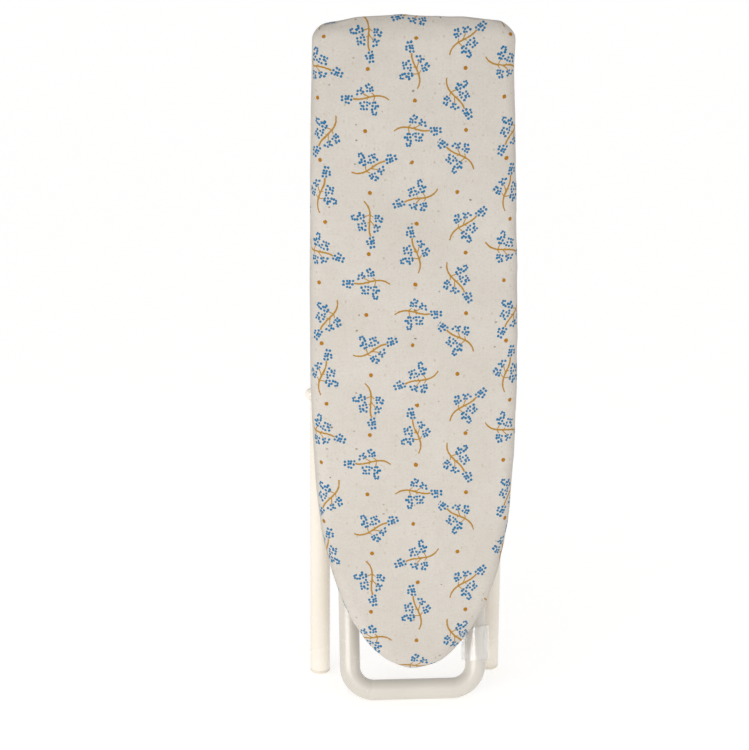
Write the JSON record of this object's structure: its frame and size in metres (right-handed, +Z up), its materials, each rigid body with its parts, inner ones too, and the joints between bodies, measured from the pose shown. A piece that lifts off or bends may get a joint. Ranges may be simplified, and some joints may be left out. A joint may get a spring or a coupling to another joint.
{
  "type": "toy ironing board",
  "caption": "Toy ironing board with a padded, printed fabric cover and crossed bent-tube legs that fold against it and open into notched catch rails.",
  "frame": {"origin": "on the floor, at the middle of the folded, standing board's footprint", "axes": "+X across the board to the right, -Y out of the work surface, +Z up from the nose to the square tail"},
  "size_m": [0.0482, 0.036, 0.1592],
  "materials": {
    "cover": "matte",
    "foam": "matte",
    "elastic": "matte",
    "board": "matte",
    "timber": "satin",
    "strap_paint": "satin",
    "leg_paint": "gloss",
    "rivet_paint": "gloss",
    "washer": "satin",
    "plug": "satin",
    "steel": "satin",
    "clear": "gloss"
  },
  "bodies": {
    "board": {"board_plate": "board", "foam_pad": "foam", "fabric_cover": "cover", "hem_elastic": "elastic", "hinge_cleat": "timber", "hinge_strap_left": "strap_paint", "hinge_strap_right": "strap_paint", "strap_screws": "steel", "catch_rail_left": "timber", "catch_rail_right": "timber", "rail_brads": "steel"},
    "outer_leg": {"outer_leg": "leg_paint", "outer_foot_plug_left": "plug", "outer_foot_plug_right": "plug", "pivot_rivet_left": "rivet_paint", "pivot_rivet_right": "rivet_paint", "pivot_washer_left": "washer", "pivot_washer_right": "washer"},
    "inner_leg": {"inner_leg": "leg_paint", "inner_foot_plug_left": "plug", "inner_foot_plug_right": "plug", "clear_sleeve": "clear"}
  },
  "joints": [
    {"name": "leg_fold", "type": "hinge", "parent": "board", "child": "outer_leg", "pos_m": [0, -0.0089, 0.13988], "axis": [1, 0, 0], "range_deg": [-7, 35]},
    {"name": "leg_cross", "type": "hinge", "parent": "outer_leg", "child": "inner_leg", "pos_m": [0, 0.00323, 0.07114], "axis": [1, 0, 0], "range_deg": [-72, 16]}
  ],
  "couplings": [
    {"joint": "leg_cross", "follows": "leg_fold", "ratio": -2}
  ]
}
